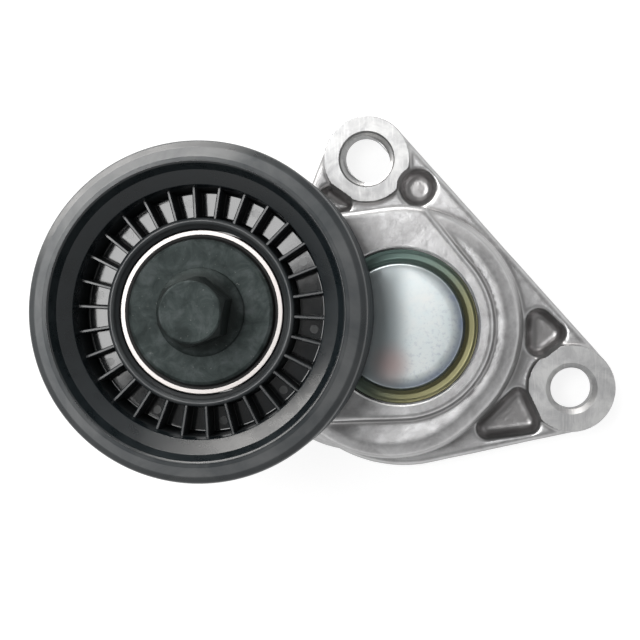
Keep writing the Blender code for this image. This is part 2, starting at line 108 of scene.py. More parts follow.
# Pulley moulding.
LIP_R = 35.9
BEVEL_R = 39.4
BEVEL_HIGH = 52.8
BEVEL_LOW = 51.9
WEB_TOP = 37.9
WEB_LOW = 34.9
HUB_R = 23.12
RIB_TOP = 46.2
RIB_COUNT = 30
RIB_FIRST_DEG = 9.2
MARK_COUNT = 10
MARK_FIRST_DEG = 27.1
MARK_RING_R = 27.2
MARK_R = 1.05
MARK_HEIGHT = 0.08
WELD_DEPTH = 1.0  # how far ribs and marks reach into the web they grow from

# Pulley bolt.
ACROSS_FLATS = 15.0
BOLT_TURN_DEG = 21.0
BOLT_R = 5.0
FLANGE_R = 10.8
FLANGE_HEIGHT = 2.6

# Castings. Each outline wraps round plan circles (centre, radius).
EAR_TOP = 10.0
EAR_R = 11.4
EAR_HOLE_R = 5.4
EAR_SLOT_REACH = 1.1
PLATE_TOP = 8.8
PLATE_CIRCLES = [((-0.3, -2.35), 34.6), ((-4.0, 3.0), 31.7)]
POCKETS = [
    [((3.7, 36.3), 4.6)],
    [((35.3, 1.2), 3.1), ((39.0, -2.0), 3.0), ((35.2, -4.8), 3.1)],
    [((29.9, -18.6), 2.3), ((32.6, -25.4), 2.7), ((21.9, -27.0), 2.6)],
    [((-19.9, 34.9), 1.8), ((-15.6, 31.8), 1.8), ((-23.5, 29.5), 2.0)],
]
ARM_LOW = 12.0
PLATEAU_TOP = 27.0
RECESS_R = 19.85
RECESS_FLOOR = 23.5
CAP_FACE_R = 14.4
VOXEL = 0.45
SMOOTHING_PASSES = 3
WAVINESS = 0.06
CAST_SHARP_DEG = 38

FLOOR_GAP = 0.3


# ---------------------------------------------------------------- shapes


def solid(name, bm):
    """Links a bmesh as an object whose faces look outwards."""
    bmesh.ops.recalc_face_normals(bm, faces=bm.faces)
    mesh = bpy.data.meshes.new(name)
    bm.to_mesh(mesh)
    bm.free()
    obj = bpy.data.objects.new(name, mesh)
    bpy.context.scene.collection.objects.link(obj)
    return obj


def polar(centre, radius, degrees):
    """The plan point at a distance and an angle from a centre."""
    angle = math.radians(degrees)
    return centre[0] + radius * math.cos(angle), centre[1] + radius * math.sin(angle)


def rounded(points, steps=5, closed=True):
    """An outline whose corners are rounded where a point has a fillet radius as its third value."""
    outline = []
    for index, point in enumerate(points):
        here = Vector(point[:2])
        end = not closed and index in (0, len(points) - 1)
        if len(point) < 3 or end:
            outline.append(tuple(here))
            continue
        to_before = Vector(points[index - 1][:2]) - here
        to_after = Vector(points[(index + 1) % len(points)][:2]) - here
        half = to_before.angle(to_after) / 2
        reach = min(point[2] / math.tan(half), 0.48 * to_before.length, 0.48 * to_after.length)
        start = here + to_before.normalized() * reach
        stop = here + to_after.normalized() * reach
        middle = (to_before.normalized() + to_after.normalized()).normalized()
        centre = here + middle * reach / math.cos(half)
        radius = reach * math.tan(half)
        for step in range(steps + 1):
            share = step / steps
            spoke = (start - centre) * (1 - share) + (stop - centre) * share
            outline.append(tuple(centre + spoke.normalized() * radius))
    return outline


def turned(name, outline, centre=PIVOT, steps=192):
    """Spins a closed outline of (radius, height) points about a vertical axis."""
    bm = bmesh.new()
    rings = []
    for step in range(steps):
        angle = math.tau * step / steps
        cos, sin = math.cos(angle), math.sin(angle)
        ring = []
        for radius, height in outline:
            x, y = centre[0] + radius * cos, centre[1] + radius * sin
            ring.append(bm.verts.new((x * MM, y * MM, height * MM)))
        rings.append(ring)
    count = len(outline)
    for ring, following in zip(rings, rings[1:] + rings[:1]):
        for index in range(count):
            after = (index + 1) % count
            if outline[index][0] > WELD or outline[after][0] > WELD:
                bm.faces.new((ring[index], following[index], following[after], ring[after]))
    bmesh.ops.remove_doubles(bm, verts=bm.verts, dist=WELD)
    return solid(name, bm)


def loft(name, circles, levels, steps=144):
    """Stacks outlines that wrap round plan circles (centre, radius), one at each (inset, height)."""
    bm = bmesh.new()
    rings = []
    for inset, height in levels:
        ring = []
        for step in range(steps):
            angle = math.tau * step / steps
            cos, sin = math.cos(angle), math.sin(angle)
            centre, radius = max(circles, key=lambda c: c[0][0] * cos + c[0][1] * sin + c[1])
            x = centre[0] + (radius - inset) * cos
            y = centre[1] + (radius - inset) * sin
            ring.append(bm.verts.new((x * MM, y * MM, height * MM)))
        rings.append(ring)
    for ring, upper in zip(rings, rings[1:]):
        for index in range(steps):
            after = (index + 1) % steps
            bm.faces.new((ring[index], ring[after], upper[after], upper[index]))
    bm.faces.new(rings[0][::-1])
    bm.faces.new(rings[-1])
    return solid(name, bm)


def column(name, centre, radius, low, high, top_radius=None, steps=96):
    """A round column or cutter, tapered when top_radius is given."""
    taper = radius - (top_radius or radius)
    return loft(name, [(centre, radius)], [(0, low), (taper, high)], steps)


def settle(obj):
    """Applies an object's modifiers."""
    bpy.context.view_layer.update()
    evaluated = obj.evaluated_get(bpy.context.evaluated_depsgraph_get())
    mesh = bpy.data.meshes.new_from_object(evaluated)
    obj.modifiers.clear()
    obj.data = mesh
    return obj


def combine(obj, other, operation="DIFFERENCE", material=None):
    """Adds a body to another or cuts it out; a cut's faces can carry a finish of their own."""
    if material:
        other.data.materials.append(material)
    modifier = obj.modifiers.new(other.name, "BOOLEAN")
    modifier.operation = operation
    modifier.solver = "MANIFOLD"
    modifier.material_mode = "TRANSFER"
    modifier.object = other
    settle(obj)
    bpy.data.objects.remove(other)
    return obj


def as_cast(obj, finish):
    """Rounds every edge as a casting's are, makes the skin slightly wavy and gives it its finish."""
    remesh = obj.modifiers.new("cast_skin", "REMESH")
    remesh.mode = "VOXEL"
    remesh.voxel_size = VOXEL * MM
    smooth = obj.modifiers.new("cast_edges", "SMOOTH")
    smooth.factor = 0.5
    smooth.iterations = SMOOTHING_PASSES
    settle(obj)
    normals = [vert.normal.copy() for vert in obj.data.vertices]
    for vert, normal in zip(obj.data.vertices, normals):
        lift = noise.noise(vert.co * 110) + 0.5 * noise.noise(vert.co * 290)
        vert.co += normal * lift * WAVINESS * MM
    obj.data.materials.clear()
    obj.data.materials.append(finish)
    return obj


def shade(obj, sharp_deg=30):
    """Smooth shading that keeps flats flat and breaks at the sharp edges."""
    obj.data.shade_smooth()
    obj.data.set_sharp_from_angle(angle=math.radians(sharp_deg))
    weighted = obj.modifiers.new("flat_faces", "WEIGHTED_NORMAL")
    weighted.keep_sharp = True
    settle(obj)
    return obj


# ---------------------------------------------------------------- finishes


class Finish:
    """A node material built up from a Principled BSDF, in the object's own metres.

    place is the point being shaded, and rise is 1 where the surface faces straight up.
    """

    def __init__(self, name, **sockets):
        self.material = bpy.data.materials.new(name)
        self.material.use_nodes = True
        self.tree = self.material.node_tree
        self.shader = self.tree.nodes["Principled BSDF"]
        self.set(self.shader, sockets)
        coordinates = self.node("ShaderNodeTexCoord").outputs
        self.place = coordinates["Object"]
        self.rise = self.node("ShaderNodeSeparateXYZ", {0: coordinates["Normal"]}).outputs[2]

    def set(self, node, sockets):
        """Gives sockets values, or links them where the value is another node's output."""
        for name, value in sockets.items():
            socket = node.inputs[name.replace("_", " ") if isinstance(name, str) else name]
            if isinstance(value, bpy.types.NodeSocket):
                self.tree.links.new(value, socket)
            else:
                socket.default_value = value

    def node(self, kind, sockets=None, **settings):
        """Adds a node."""
        node = self.tree.nodes.new(kind)
        for name, value in settings.items():
            setattr(node, name, value)
        self.set(node, sockets or {})
        return node

    def noise(self, scale, detail=3, roughness=0.5, vector=None, distortion=0):
        """Fractal noise from 0 to 1; the scale is in features per metre."""
        sockets = {
            "Vector": vector or self.place,
            "Scale": scale,
            "Detail": detail,
            "Roughness": roughness,
            "Distortion": distortion,
        }
        return self.node("ShaderNodeTexNoise", sockets).outputs[0]

    def span(self, value, low, high, to_low=0.0, to_high=1.0):
        """Carries a value's range over to another one, with soft ends."""
        node = self.node("ShaderNodeMapRange", interpolation_type="SMOOTHSTEP")
        for index, number in enumerate((value, low, high, to_low, to_high)):
            self.set(node, {index: number})
        return node.outputs[0]

    def math(self, operation, first, second=0.0):
        """One arithmetic step."""
        return self.node("ShaderNodeMath", {0: first, 1: second}, operation=operation).outputs[0]

    def times(self, first, second):
        """The product of two values, which is where two masks meet."""
        return self.math("MULTIPLY", first, second)

    def ramp(self, value, *stops):
        """A colour for a value between 0 and 1, from (position, (r, g, b)) stops."""
        node = self.node("ShaderNodeValToRGB", {0: value})
        elements = node.color_ramp.elements
        while len(elements) < len(stops):
            elements.new(1.0)
        for element, (position, colour) in zip(elements, stops):
            element.position = position
            element.color = (*colour, 1.0)
        return node.outputs[0]

    def mix(self, share, first, second):
        """Goes from the first colour to the second as share goes from 0 to 1."""
        node = self.node("ShaderNodeMix", data_type="RGBA")
        for index, value in ((0, share), (6, first), (7, second)):
            if isinstance(value, tuple):
                value = (*value, 1.0)
            self.set(node, {index: value})
        return node.outputs[2]

    def axes(self, centre=PIVOT):
        """X, Y, Z and the distance from a vertical axis, in millimetres."""
        shift = (-centre[0] * MM, -centre[1] * MM, 0)
        moved = self.node("ShaderNodeVectorMath", {0: self.place, 1: shift}, operation="ADD")
        scaled = self.node("ShaderNodeVectorMath", {0: moved.outputs[0]}, operation="SCALE")
        scaled.inputs["Scale"].default_value = 1 / MM
        parts = self.node("ShaderNodeSeparateXYZ", {0: scaled.outputs[0]}).outputs
        square = self.math("ADD", self.times(parts[0], parts[0]), self.times(parts[1], parts[1]))
        return parts[0], parts[1], parts[2], self.math("SQRT", square)

    def bump(self, height, distance, strength=1.0, under=None):
        """Relief whose full height is given in millimetres."""
        sockets = {"Height": height, "Distance": distance * MM, "Strength": strength}
        if under:
            sockets["Normal"] = under
        return self.node("ShaderNodeBump", sockets).outputs[0]

    def done(self, **sockets):
        """Links the shader and hands the material over."""
        self.set(self.shader, sockets)
        return self.material


def cast_aluminium():
    """Cast aluminium: soft grey clouds and fine grain, with painted highlight on proud edges and painted shade on
    steep sides and in hollows.
    """
    f = Finish("cast_aluminium", Metallic=1.0)
    cloud = f.noise(110, 5, 0.65, distortion=0.7)
    grain = f.noise(900, 4, 0.6)
    dents = f.noise(190, 3, 0.6, distortion=0.4)
    speck = f.noise(2600, 2, 0.5)
    hollow = f.node("ShaderNodeAttribute", attribute_name="hollow").outputs["Fac"]
    crest = f.node("ShaderNodeAttribute", attribute_name="crest").outputs["Fac"]
    tone = f.ramp(cloud, (0.34, (0.50, 0.495, 0.50)), (0.66, (0.78, 0.78, 0.785)))
    tone = f.mix(f.span(grain, 0.40, 0.75, 0.0, 0.35), tone, (0.80, 0.795, 0.79))
    # painted highlight: proud edges and ridges (the crest mask) are lightened towards near white
    tone = f.mix(f.times(crest, 0.35), tone, (0.92, 0.92, 0.92))
    # painted shade: steep sides are darkened, less so inside hollows
    steep = f.span(f.rise, 0.45, 0.93, f.span(hollow, 0.3, 1.0, 0.75, 0.25), 0.0)
    tone = f.mix(steep, tone, (0.24, 0.24, 0.24))
    # painted shade: hollows, creases and the pockets (the hollow mask) are darkened
    tone = f.mix(hollow, tone, (0.49, 0.48, 0.48))
    rough = f.span(grain, 0.3, 0.7, 0.40, 0.50)
    rough = f.math("SUBTRACT", rough, f.times(f.math("ADD", hollow, crest), 0.10))
    skin = f.bump(speck, 0.02, 0.5)
    skin = f.bump(grain, 0.05, 0.7, skin)
    skin = f.bump(dents, 0.16, 0.8, skin)
    return f.done(Base_Color=tone, Roughness=rough, Normal=skin)


def machined_aluminium():
    """Faced and drilled aluminium: brighter, with a few stray scratches and painted shade on steep faces such as
    the walls of holes.
    """
    f = Finish("machined_aluminium", Metallic=1.0)
    cloud = f.noise(170, 5, 0.65, distortion=0.6)
    stretch = f.node("ShaderNodeMapping", {"Vector": f.place, "Rotation": (0, 0, 0.6)})
    stretch.inputs["Scale"].default_value = (2200, 160, 300)
    lines = f.noise(1.0, 3, 0.6, stretch.outputs[0], 0.4)
    tone = f.ramp(cloud, (0.36, (0.60, 0.60, 0.605)), (0.64, (0.84, 0.84, 0.835)))
    tone = f.mix(f.span(lines, 0.55, 0.72, 0.0, 0.5), tone, (0.95, 0.94, 0.93))
    # painted shade: steep faces, such as the walls of holes and sinks, are darkened
    tone = f.mix(f.span(f.rise, 0.2, 0.8, 0.8, 0.0), tone, (0.15, 0.15, 0.15))
    rough = f.span(lines, 0.35, 0.7, 0.50, 0.40)
    relief = f.bump(lines, 0.02, 0.5)
    return f.done(Base_Color=tone, Roughness=rough, Normal=relief)


def black_plastic():
    """Black nylon: mirror-smooth pocket floors, duller walls, a worn lip, painted sheen on the hub collar and a
    dull belt face.
    """
    f = Finish("black_plastic", IOR=1.8)
    height, radius = f.axes(WHEEL)[2:]
    haze = f.noise(160, 4, 0.6)
    scuffs = f.noise(75, 5, 0.6, distortion=0.8)
    fine = f.noise(1500, 3, 0.6)

    # Masks, each 1 on its own part of the moulding.
    pockets = f.span(radius, 31.5, 32.0, 1.0, 0.0)
    floor = f.times(f.span(height, WEB_TOP - 1.0, WEB_TOP - 0.5),
                    f.span(height, WEB_TOP + 0.02, WEB_TOP + 0.05, 1.0, 0.0))
    mark = f.times(f.span(height, WEB_TOP + 0.05, WEB_TOP + 0.07),
                   f.span(height, WEB_TOP + 0.1, WEB_TOP + 0.2, pockets, 0.0))
    wall = f.times(f.span(height, WEB_TOP + 0.2, WEB_TOP + 1.0, 0.0, pockets),
                   f.span(height, RIB_TOP - 0.4, RIB_TOP - 0.1, 1.0, 0.0))
    seat = f.span(radius, 21.3, 21.6, 1.0, 0.0)
    collar = f.times(f.span(radius, HUB_R + 0.2, HUB_R + 0.4, 0.8, 0.0),
                     f.span(height, RIB_TOP - 0.2, RIB_TOP + 0.4))
    rim = f.span(radius, LIP_R, LIP_R + 0.5)
    front = f.span(height, BEVEL_LOW - 1.1, BEVEL_LOW - 0.3)
    lip = f.times(rim, f.span(radius, BEVEL_R - 0.4, BEVEL_R + 0.5, front, 0.3))
    belt = f.times(rim, f.span(height, BEVEL_LOW - 1.1, BEVEL_LOW - 0.3, 1.0, 0.0))
    lip_wear_and_collar_sheen = f.math("MAXIMUM", lip, collar)
    dull = f.math("MAXIMUM", wall, seat)

    tone = f.ramp(haze, (0.3, (0.003, 0.006, 0.008)), (0.7, (0.007, 0.012, 0.015)))
    tone = f.mix(mark, tone, (0.050, 0.055, 0.055))
    wear_and_sheen_grey = f.ramp(scuffs, (0.36, (0.030, 0.038, 0.043)), (0.64, (0.092, 0.098, 0.101)))
    # the lip is lightened as real wear; the hub collar's crest is lightened as a painted sheen
    tone = f.mix(lip_wear_and_collar_sheen, tone, wear_and_sheen_grey)
    rough = f.span(haze, 0.3, 0.7, 0.24, 0.34)
    rough = f.times(rough, f.span(floor, 0.0, 1.0, 1.0, 0.30))
    rough = f.math("ADD", rough, f.times(dull, 0.30))
    rough = f.times(rough, f.span(mark, 0.0, 1.0, 1.0, 0.5))
    rough = f.math("ADD", rough, f.times(lip_wear_and_collar_sheen, 0.06))
    rough = f.math("ADD", rough, f.times(belt, 0.30))
    relief = f.bump(fine, 0.004, 0.5)
    level = f.span(belt, 0.0, 1.0, 0.5, 0.1)
    return f.done(Base_Color=tone, Roughness=rough, Normal=relief, Specular_IOR_Level=level)


def black_phosphate():
    """Phosphated steel: matt green-grey and mottled, with painted shade on steep sides and on the flange round the
    hexagon's foot.
    """
    f = Finish("black_phosphate", Metallic=0.55)
    height, radius = f.axes(WHEEL)[2:]
    mottle = f.noise(210, 6, 0.66, distortion=0.5)
    fine = f.noise(1800, 3, 0.6)
    tone = f.ramp(mottle, (0.34, (0.011, 0.018, 0.017)), (0.50, (0.038, 0.051, 0.049)),
                  (0.66, (0.084, 0.100, 0.100)))
    flecks = f.span(f.noise(1300, 2, 0.5), 0.70, 0.76, 0.0, 0.55)
    tone = f.mix(flecks, tone, (0.22, 0.23, 0.22))
    # painted shade: the flange next to the hexagon, where the head shades it
    foot = f.times(f.span(radius, 8.4, 10.6, 0.7, 0.0),
                   f.span(height, BOLT_TOP - 3, BOLT_TOP - 1, 1.0, 0.0))
    # painted shade: steep sides such as the hexagon's flats
    steep = f.span(f.rise, 0.6, 0.95, 0.75, 0.0)
    tone = f.mix(f.math("MAXIMUM", foot, steep), tone, (0.010, 0.014, 0.013))
    rough = f.span(mottle, 0.3, 0.7, 0.46, 0.58)
    relief = f.bump(fine, 0.02, 0.5)
    return f.done(Base_Color=tone, Roughness=rough, Normal=relief)


def bearing_steel():
    """Ground steel with faint rings left by the grinding."""
    f = Finish("bearing_steel", Metallic=1.0)
    height, radius = f.axes(WHEEL)[2:]
    rings = f.node("ShaderNodeCombineXYZ", {0: f.times(radius, 9.0), 1: height})
    lines = f.noise(1.0, 2, 0.5, rings.outputs[0])
    tone = f.ramp(lines, (0.3, (0.64, 0.60, 0.58)), (0.7, (0.72, 0.685, 0.665)))
    return f.done(Base_Color=tone, Roughness=f.span(lines, 0.3, 0.7, 0.38, 0.46))


def machined_steel():
    """Turned steel of the pivot pin and its plate."""
    f = Finish("machined_steel", Metallic=1.0)
    lines = f.noise(700, 3)
    tone = f.ramp(lines, (0.3, (0.48, 0.47, 0.46)), (0.7, (0.60, 0.59, 0.58)))
    return f.done(Base_Color=tone, Roughness=f.span(lines, 0.3, 0.7, 0.25, 0.38))


def zinc_plate():
    """Passivated zinc: cloudy blue-white on the face, with painted shade over its left part towards the pulley,
    green to olive in the groove.
    """
    f = Finish("zinc_plate", Metallic=1.0)
    x, y, _, radius = f.axes(PIVOT)
    cloud = f.noise(120, 4, 0.6, distortion=0.6)
    fine = f.noise(900, 4, 0.65)
    along = f.math("SUBTRACT", f.times(x, 0.8), f.times(y, 0.6))  # grows towards the right ear

    grit = f.times(f.span(fine, 0.5, 0.65), f.span(along, -2.0, 12.0, 0.1, 0.6))
    blue_edge = f.times(f.span(radius, CAP_FACE_R - 1.0, CAP_FACE_R + 1.0), f.span(along, -2.0, 8.0))
    blue_edge = f.times(blue_edge, f.span(cloud, 0.35, 0.65, 0.35, 0.9))
    # painted shade: the face darkens towards its left, next to the pulley
    painted_pulley_shade = f.span(x, -2.0, 3.5, 0.75, 0.0)
    blush = f.span(f.axes((-2.4, -9.6))[3], 0.5, 7.0, 0.6, 0.0)

    face = f.ramp(cloud, (0.3, (0.86, 0.96, 0.98)), (0.7, (0.97, 1.0, 0.99)))
    face = f.mix(grit, face, (0.66, 0.72, 0.78))
    face = f.mix(blue_edge, face, (0.34, 0.45, 0.70))
    face = f.mix(painted_pulley_shade, face, (0.46, 0.52, 0.54))
    face = f.mix(blush, face, (0.68, 0.46, 0.44))
    groove = f.ramp(f.span(along, -14.0, 14.0), (0.0, (0.24, 0.34, 0.31)),
                    (0.60, (0.20, 0.25, 0.20)), (1.0, (0.23, 0.22, 0.12)))
    tone = f.mix(f.span(radius, 16.0, 16.5), face, groove)
    rough = f.span(cloud, 0.3, 0.7, 0.33, 0.42)
    relief = f.bump(fine, 0.012, 0.4)
    return f.done(Base_Color=tone, Roughness=rough, Normal=relief)


def spring_steel():
    """Oil-tempered spring wire."""
    f = Finish("spring_steel", Metallic=0.9)
    scale = f.noise(500, 4)
    tone = f.ramp(scale, (0.3, (0.10, 0.10, 0.105)), (0.7, (0.20, 0.195, 0.19)))
    return f.done(Base_Color=tone, Roughness=f.span(scale, 0.3, 0.7, 0.34, 0.5))


def seal_rubber():
    """Black nitrile rubber."""
    f = Finish("seal_rubber")
    fine = f.noise(1200, 3)
    tone = f.ramp(fine, (0.3, (0.014, 0.014, 0.014)), (0.7, (0.028, 0.027, 0.027)))
    return f.done(Base_Color=tone, Roughness=f.span(fine, 0.3, 0.7, 0.55, 0.7))


def nylon():
    """Natural nylon of the bushing, washers and ball cage."""
    f = Finish("nylon")
    fine = f.noise(600, 3)
    tone = f.ramp(fine, (0.3, (0.50, 0.47, 0.39)), (0.7, (0.60, 0.57, 0.48)))
    return f.done(Base_Color=tone, Roughness=f.span(fine, 0.3, 0.7, 0.42, 0.52))


# ---------------------------------------------------------------- pulley and its bearing


def make_wheel(plastic):
    """The moulded pulley: rounded lathe body, drafted ribs and ejector marks."""
    seat_r = BEARING_R + 0.3
    outline = rounded([
        (seat_r, BEARING_LOW + 0.3, 0.3),
        (seat_r, BEARING_TOP + 0.1, 0.5),
        (21.1, 45.8, 0.8),
        (21.5, 46.5, 0.5),
        (22.2, 46.9, 0.9),
        (HUB_R - 0.1, 46.3, 0.9),
        (HUB_R + 0.2, WEB_TOP, 0.5),
        (29.8, WEB_TOP, 0.6),
        (30.6, 50.1, 0.5),
        (34.13, 52.33, 0.5),
        (LIP_R - 0.4, PULLEY_TOP - 0.35, 0.3),
        (LIP_R, PULLEY_TOP, 0.3),
        (37.0, PULLEY_TOP - 0.2, 0.5),
        (BEVEL_R, BEVEL_HIGH, 1.2),
        (PULLEY_R, BEVEL_LOW, 0.9),
        (PULLEY_R, PULLEY_BACK + 0.8, 0.5),
        (PULLEY_R - 0.8, PULLEY_BACK, 0.5),
        (36.9, PULLEY_BACK, 0.5),
        (36.5, 45.5, 1.2),
        (33.6, 45.5, 1.2),
        (33.2, 32.0, 0.5),
        (32.0, WEB_LOW, 0.8),
        (24.4, WEB_LOW, 0.6),
        (24.0, 32.6, 0.5),
        (seat_r + 0.4, 32.6, 0.3),
    ])
    wheel = turned("pulley_wheel", outline, WHEEL)
    wheel.data.materials.append(plastic)
    combine(wheel, rib_fan(), "UNION", plastic)
    combine(wheel, ejector_marks(), "UNION", plastic)
    return shade(wheel)


def rib_fan():
    """Thin drafted ribs with eased top edges, equally spaced between the hub and the rim."""
    bm = bmesh.new()
    section = [(0.60, WEB_TOP - WELD_DEPTH), (0.42, RIB_TOP - 0.2), (0.22, RIB_TOP)]
    outline = section + [(-half, height) for half, height in reversed(section)]
    for index in range(RIB_COUNT):
        angle = math.radians(RIB_FIRST_DEG + 360 * index / RIB_COUNT)
        cos, sin = math.cos(angle), math.sin(angle)
        ends = []
        for radius in (HUB_R - 1.2, 31.2):
            end = []
            for side, height in outline:
                x = WHEEL[0] + radius * cos - side * sin
                y = WHEEL[1] + radius * sin + side * cos
                end.append(bm.verts.new((x * MM, y * MM, height * MM)))
            ends.append(end)
        inner, outer = ends
        bm.faces.new(inner)
        bm.faces.new(outer[::-1])
        for first in range(len(outline)):
            after = (first + 1) % len(outline)
            bm.faces.new((inner[first], outer[first], outer[after], inner[after]))
    return solid("rib_fan", bm)


def ejector_marks():
    """Round marks of the mould's ejector pins, a little proud of the web."""
    bm = bmesh.new()
    depth = WELD_DEPTH + MARK_HEIGHT
    for index in range(MARK_COUNT):
        x, y = polar(WHEEL, MARK_RING_R, MARK_FIRST_DEG + 360 * index / MARK_COUNT)
        middle = Vector((x, y, WEB_TOP + MARK_HEIGHT - depth / 2)) * MM
        bmesh.ops.create_cone(bm, cap_ends=True, segments=32, radius1=MARK_R * MM,
                              radius2=MARK_R * MM, depth=depth * MM,
                              matrix=Matrix.Translation(middle))
    return solid("ejector_marks", bm)


def make_outer_race(steel):
    """The bearing's outer ring with ground, eased edges and a recess for each seal."""
    seat_r, land_r = 18.84, 16.6
    outline = rounded([
        (seat_r, BEARING_TOP, 0.08),
        (BEARING_R, BEARING_TOP, 0.2),
        (BEARING_R, BEARING_LOW, 0.2),
        (seat_r, BEARING_LOW, 0.08),
        (seat_r, BEARING_LOW + 1.4),
        (land_r, BEARING_LOW + 1.4),
        (land_r, BEARING_LOW + 3.3),
        (17.6, BEARING_LOW + 4.6, 2.0),
        (17.6, BEARING_TOP - 4.6, 2.0),
        (land_r, BEARING_TOP - 3.3),
        (land_r, BEARING_TOP - 1.4),
        (seat_r, BEARING_TOP - 1.4),
    ])
    ring = turned("bearing_outer_race", outline, WHEEL)
    ring.data.materials.append(steel)
    return shade(ring)


def make_seal(name, top, rubber):
    """A moulded seal with a raised bead near its outer edge."""
    inner, outer = 11.85, 18.80
    outline = rounded([
        (inner, top - 0.8),
        (outer, top - 0.8, 0.15),
        (outer, top + 0.16, 0.05),
        (outer - 0.5, top + 0.1, 0.1),
        (outer - 1.1, top - 0.2, 0.1),
        (inner + 1.0, top - 0.2, 0.1),
        (inner, top, 0.1),
    ])
    seal = turned(name, outline, WHEEL, 128)
    seal.data.materials.append(rubber)
    return shade(seal)


def make_shield(phosphate):
    """The pressed front washer: flat, with a rolled outer edge."""
    outline = rounded([
        (5.3, SHIELD_LOW),
        (SHIELD_R, SHIELD_LOW, 0.2),
        (SHIELD_R, SHIELD_TOP - 0.25, 0.45),
        (SHIELD_R - 0.9, SHIELD_TOP, 0.8),
        (12.5, SHIELD_TOP - 0.08, 2.0),
        (5.3, SHIELD_TOP - 0.08),
    ])
    shield = turned("pressed_dust_shield", outline, WHEEL)
    shield.data.materials.append(phosphate)
    return shade(shield)


def make_bolt(phosphate):
    """The forged flange bolt: hexagon with a turned chamfer, sloping flange and shank."""
    flange_low = SHIELD_TOP + 0.05
    flange_top = flange_low + FLANGE_HEIGHT
    corner_r = ACROSS_FLATS / 2 / math.cos(math.radians(30))
    bm = bmesh.new()
    for height in (flange_top - 1.0, BOLT_TOP):
        for index in range(6):
            x, y = polar(WHEEL, corner_r, BOLT_TURN_DEG + 60 * index)
            bm.verts.new((x * MM, y * MM, height * MM))
    bmesh.ops.convex_hull(bm, input=bm.verts)
    bmesh.ops.dissolve_limit(bm, angle_limit=0.01, verts=bm.verts, edges=bm.edges)
    upright = [edge for edge in bm.edges if abs(edge.verts[0].co.z - edge.verts[1].co.z) > MM]
    bmesh.ops.bevel(bm, geom=upright, offset=0.3 * MM, segments=3, profile=0.5, affect="EDGES")
    hexagon = solid("hexagon", bm)
    chamfer = turned("hexagon_chamfer", rounded([
        (0, flange_top - 2),
        (10, flange_top - 2),
        (10, BOLT_TOP - 4.2),
        (7.4, BOLT_TOP - 0.1, 0.15),
        (7.0, BOLT_TOP, 0.3),
        (5.8, BOLT_TOP - 0.10, 0.6),
        (2.0, BOLT_TOP - 0.16, 1.0),
        (0, BOLT_TOP - 0.16),
    ]), WHEEL, 96)
    hexagon.data.materials.append(phosphate)
    combine(hexagon, chamfer, "INTERSECT", phosphate)
    outline = rounded([
        (0, BOLT_FOOT),
        (BOLT_R - 0.8, BOLT_FOOT),
        (BOLT_R, BOLT_FOOT + 0.8),
        (BOLT_R, flange_low),
        (FLANGE_R - 0.1, flange_low, 0.1),
        (FLANGE_R, flange_low + 0.5, 0.25),
        (9.6, flange_low + 1.2, 1.0),
        (7.9, flange_top - 0.5, 1.4),
        (7.0, flange_top + 0.6, 0.8),
        (6.0, flange_top + 0.8),
        (0, flange_top + 0.8),
    ])
    bolt = turned("flange_bolt", outline, WHEEL)
    bolt.data.materials.append(phosphate)
    combine(bolt, hexagon, "UNION")
    return shade(bolt)


# ---------------------------------------------------------------- cap


def make_cap(zinc):
    """The pressed cap: a very shallow dome inside a rounded groove."""
    dome_r, dome_top, steps = 500.0, CAP_TOP - 0.7, 8
    dome = []
    for step in range(steps + 1):
        radius = CAP_FACE_R * step / steps
        dome.append((radius, dome_top - dome_r + math.sqrt(dome_r ** 2 - radius ** 2)))
    outline = dome + rounded([
        (CAP_FACE_R, CAP_TOP - 0.91),
        (15.7, CAP_TOP - 1.3, 0.8),
        (16.3, CAP_TOP - 2.6, 0.6),
        (17.2, CAP_TOP - 3.1, 0.9),
        (18.6, CAP_TOP - 3.0, 0.9),
        (19.3, CAP_TOP - 2.5, 0.3),
        (19.55, CAP_TOP - 2.6, 0.15),
        (19.55, RECESS_FLOOR + 0.3, 0.2),
        (15.9, RECESS_FLOOR + 0.3),
        (15.2, CAP_TOP - 2.4),
        (0, CAP_TOP - 1.4),
    ], closed=False)[1:]
    cap = turned("domed_cap", outline)
    cap.data.materials.append(zinc)
    return shade(cap)


# ---------------------------------------------------------------- castings


def rows_of(items, field):
    """A vector field of a mesh's points, one row a point."""
    values = np.empty(len(items) * 3, np.float32)
    items.foreach_get(field, values)
    return values.reshape(-1, 3).astype(float)


def ease(values, start, stop):
    """0 up to start, 1 from stop on, and straight between them."""
    return np.clip((values - start) / (stop - start), 0, 1)


def skin_bend(mesh, rounds=3):
    """How hollow (above 0) or proud (below 0) an evenly meshed skin is at each point, in voxels."""
    points, normals = rows_of(mesh.vertices, "co"), rows_of(mesh.vertex_normals, "vector")
    ends = np.empty(len(mesh.edges) * 2, np.int32)
    mesh.edges.foreach_get("vertices", ends)
    first, second = ends[::2], ends[1::2]
    count = len(points)
    degree = np.bincount(ends, minlength=count)

    def around(values):
        total = np.bincount(first, values[second], count) + np.bincount(second, values[first], count)
        return total / degree

    mean = np.stack([around(points[:, axis]) for axis in range(3)], axis=1)
    bend = ((mean - points) * normals).sum(axis=1) / (VOXEL * MM)
    for _ in range(rounds):
        bend = (bend + around(bend)) / 2
    return bend


